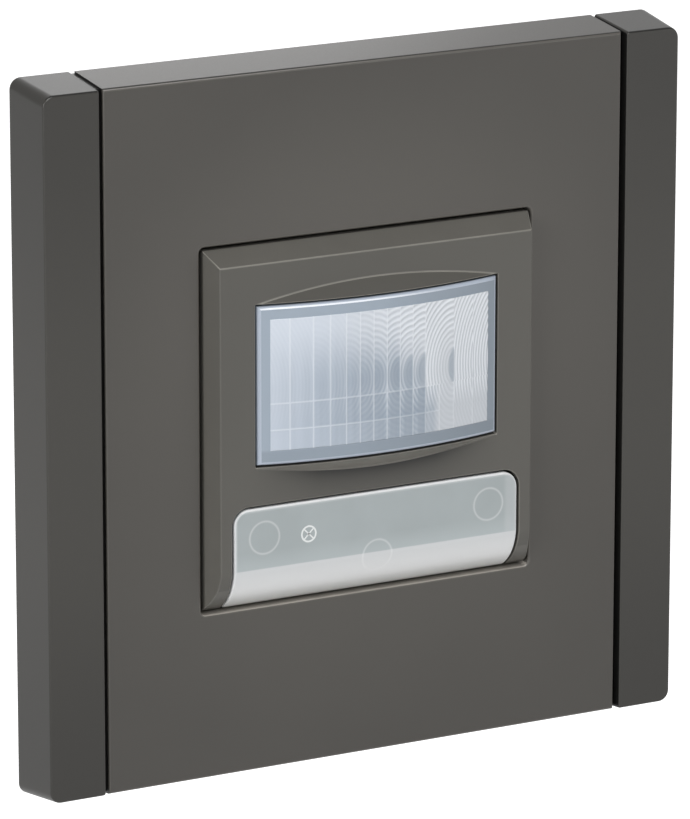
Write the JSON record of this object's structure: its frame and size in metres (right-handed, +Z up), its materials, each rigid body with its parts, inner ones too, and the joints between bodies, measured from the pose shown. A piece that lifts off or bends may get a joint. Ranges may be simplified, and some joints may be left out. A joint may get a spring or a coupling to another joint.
{
  "type": "motion sensor light switch",
  "caption": "Flush wall switch with a square cover frame, side trim bars, a curved grid lens over a motion sensor and a translucent spring-loaded push key.",
  "frame": {"origin": "centre of the wall plane, at the back of the steel yoke", "axes": "+X to the right seen from the front, +Y into the wall, +Z up"},
  "size_m": [0.087, 0.0443, 0.0878],
  "materials": {
    "trim_plastic": "satin",
    "plate_plastic": "satin",
    "bezel_plastic": "satin",
    "carrier_plastic": "matte",
    "lens_plastic": "milky, semi-gloss",
    "key_plastic": "translucent, satin",
    "black_plastic": "matte",
    "spring_steel": "bright",
    "chassis_plastic": "matte",
    "galvanised_steel": "galvanised",
    "screw_steel": "zinc plated",
    "housing_plastic": "matte",
    "board_green": "solder mask",
    "board_tan": "bare laminate",
    "can_metal": "nickel",
    "filter_dark": "polished",
    "lead_metal": "tinned",
    "smoke_resin": "polished",
    "clear_resin": "polished",
    "plunger_red": "satin",
    "trimmer_blue": "satin",
    "dial_white": "satin",
    "film_red": "dipped",
    "sleeve_blue": "shrink sleeve",
    "disc_blue": "dipped",
    "fuse_grey": "satin",
    "brass": "turned"
  },
  "bodies": {
    "base": {"left_trim_bar": "trim_plastic", "right_trim_bar": "trim_plastic", "cover_plate": "plate_plastic", "sensor_bezel": "bezel_plastic", "frame_carrier": "carrier_plastic", "fresnel_lens": "lens_plastic", "lens_retainer": "black_plastic", "tact_switch_body": "black_plastic", "control_chip": "black_plastic", "board_header": "black_plastic", "relay": "black_plastic", "key_spring_left": "spring_steel", "key_spring_right": "spring_steel", "sensor_chassis": "chassis_plastic", "terminal_shroud": "chassis_plastic", "mounting_yoke": "galvanised_steel", "yoke_screws": "screw_steel", "housing_screws": "screw_steel", "terminal_screws": "screw_steel", "rear_housing": "housing_plastic", "sensor_board": "board_green", "power_board": "board_tan", "pir_sensor_can": "can_metal", "pir_filter_window": "filter_dark", "pir_sensor_leads": "lead_metal", "light_sensor": "smoke_resin", "indicator_led": "clear_resin", "time_trimmer_base": "trimmer_blue", "lux_trimmer_base": "trimmer_blue", "film_capacitor": "film_red", "electrolytic_capacitor": "sleeve_blue", "varistor": "disc_blue", "fuse": "fuse_grey", "live_terminal": "brass", "neutral_terminal": "brass", "load_terminal": "brass"},
    "key": {"push_key": "key_plastic"},
    "plunger": {"tact_plunger": "plunger_red"},
    "time_dial": {"time_trimmer_dial": "dial_white"},
    "lux_dial": {"lux_trimmer_dial": "dial_white"}
  },
  "joints": [
    {"name": "key_press", "type": "slide", "parent": "base", "child": "key", "axis": [0, 1, 0], "range_m": [0, 0.0006], "stiffness_N_per_m": 1200, "springref_m": -0.0008, "deforming": ["key_spring_left", "key_spring_right"]},
    {"name": "plunger_press", "type": "slide", "parent": "base", "child": "plunger", "axis": [0, 1, 0], "range_m": [0, 0.0006]},
    {"name": "time_turn", "type": "hinge", "parent": "base", "child": "time_dial", "pos_m": [-0.01, -0.0001, -0.0074], "axis": [0, 1, 0], "range_deg": [-135, 135]},
    {"name": "lux_turn", "type": "hinge", "parent": "base", "child": "lux_dial", "pos_m": [0.01, -0.0001, -0.0074], "axis": [0, 1, 0], "range_deg": [-135, 135]}
  ],
  "couplings": [
    {"joint": "plunger_press", "follows": "key_press", "ratio": 1}
  ]
}
